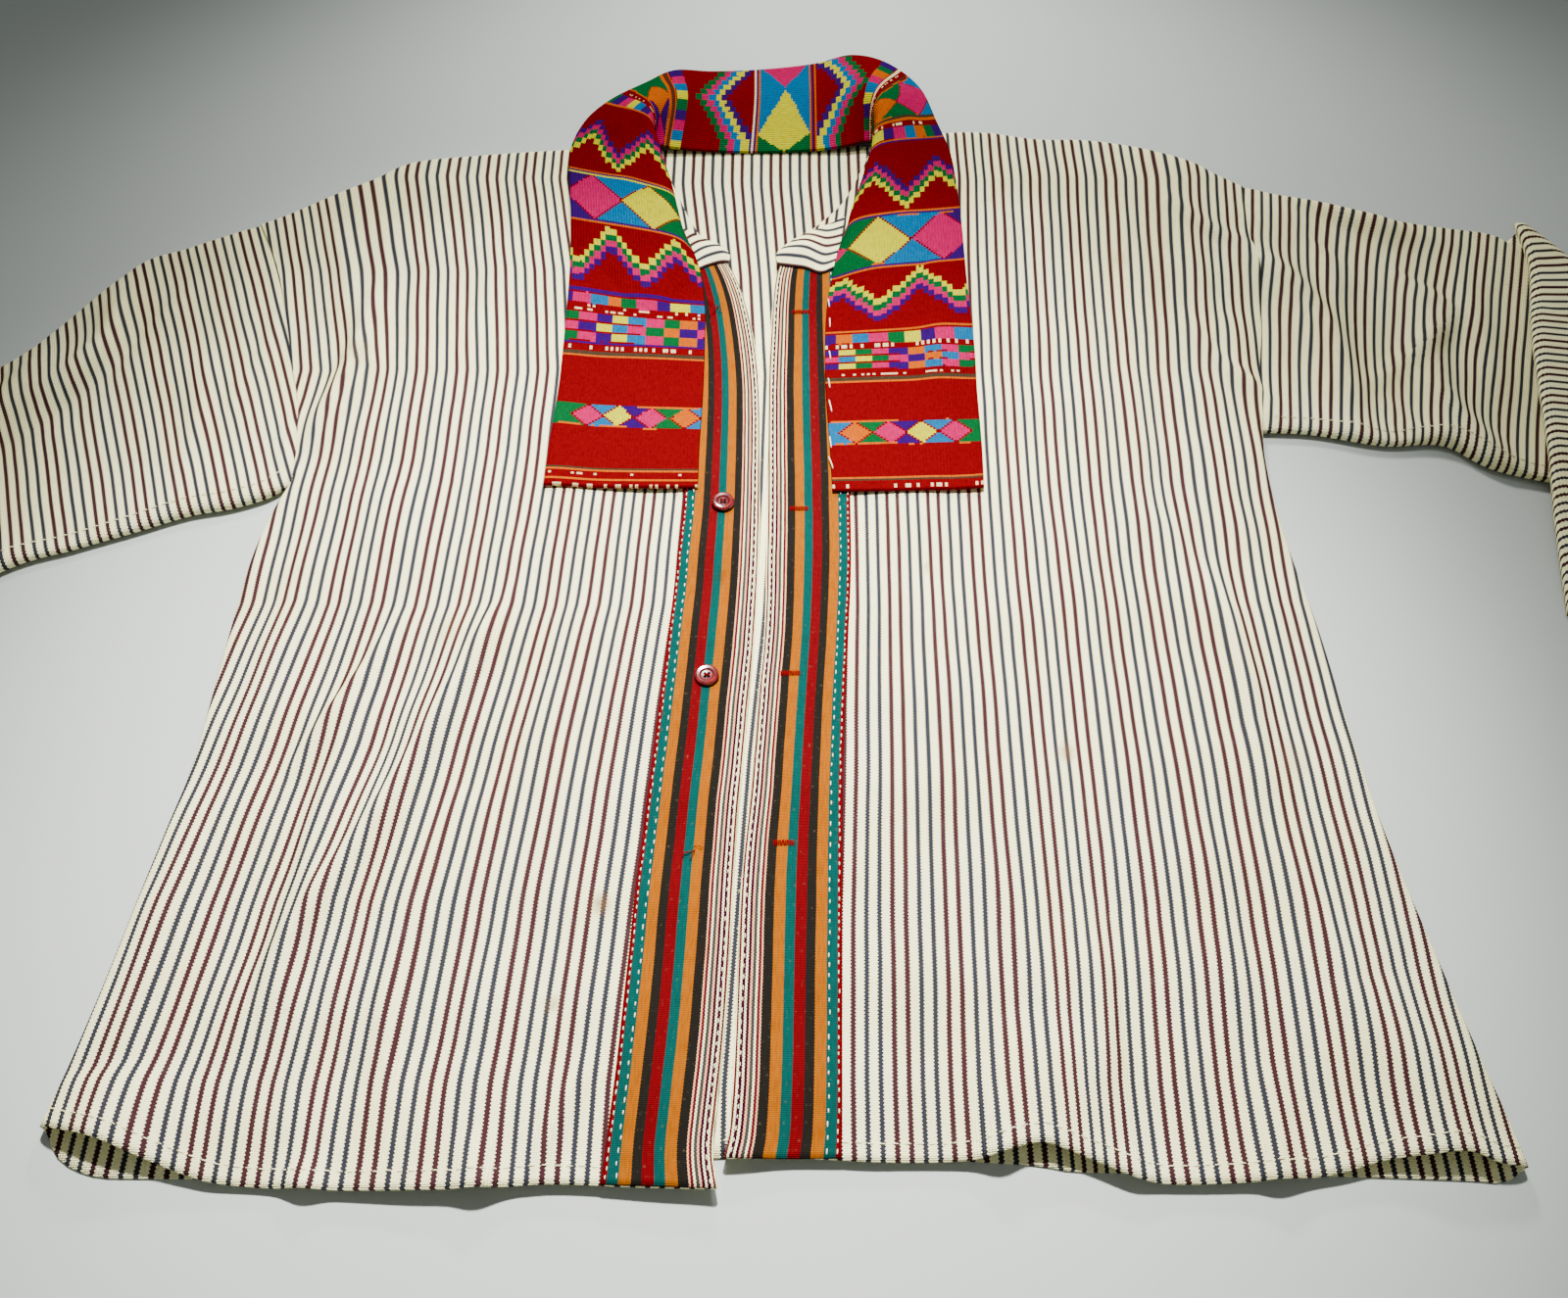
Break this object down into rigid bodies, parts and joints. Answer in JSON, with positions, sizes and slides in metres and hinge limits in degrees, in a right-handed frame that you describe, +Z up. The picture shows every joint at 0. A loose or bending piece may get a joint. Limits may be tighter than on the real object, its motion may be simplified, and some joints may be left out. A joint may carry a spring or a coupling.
{
  "type": "open-front shirt with brocaded collar, laid flat",
  "caption": "Wide open-front shirt of striped hand-woven cotton laid flat, with a long brocaded collar, bright striped front strips, wide sleeves and small round buttons.",
  "frame": {"origin": "on the surface that the shirt lies on, under the middle of its bounding box", "axes": "+X across the shirt towards the wearer's left sleeve, +Y from the hem towards the collar, +Z up from the surface"},
  "size_m": [1.5526, 0.9058, 0.0327],
  "materials": {
    "striped_cotton": "matte",
    "bright_striped_cotton": "matte",
    "brocade": "matte",
    "red_button": "gloss"
  },
  "bodies": {
    "root": {"back": "striped_cotton", "front_right": "striped_cotton", "front_left": "striped_cotton", "sleeve_right": "striped_cotton", "sleeve_left": "striped_cotton", "collar": "brocade", "neckband_right": "striped_cotton", "neckband_left": "striped_cotton", "band_right": "bright_striped_cotton", "band_left": "bright_striped_cotton", "button_upper": "red_button", "button_lower": "red_button"}
  },
  "joints": []
}
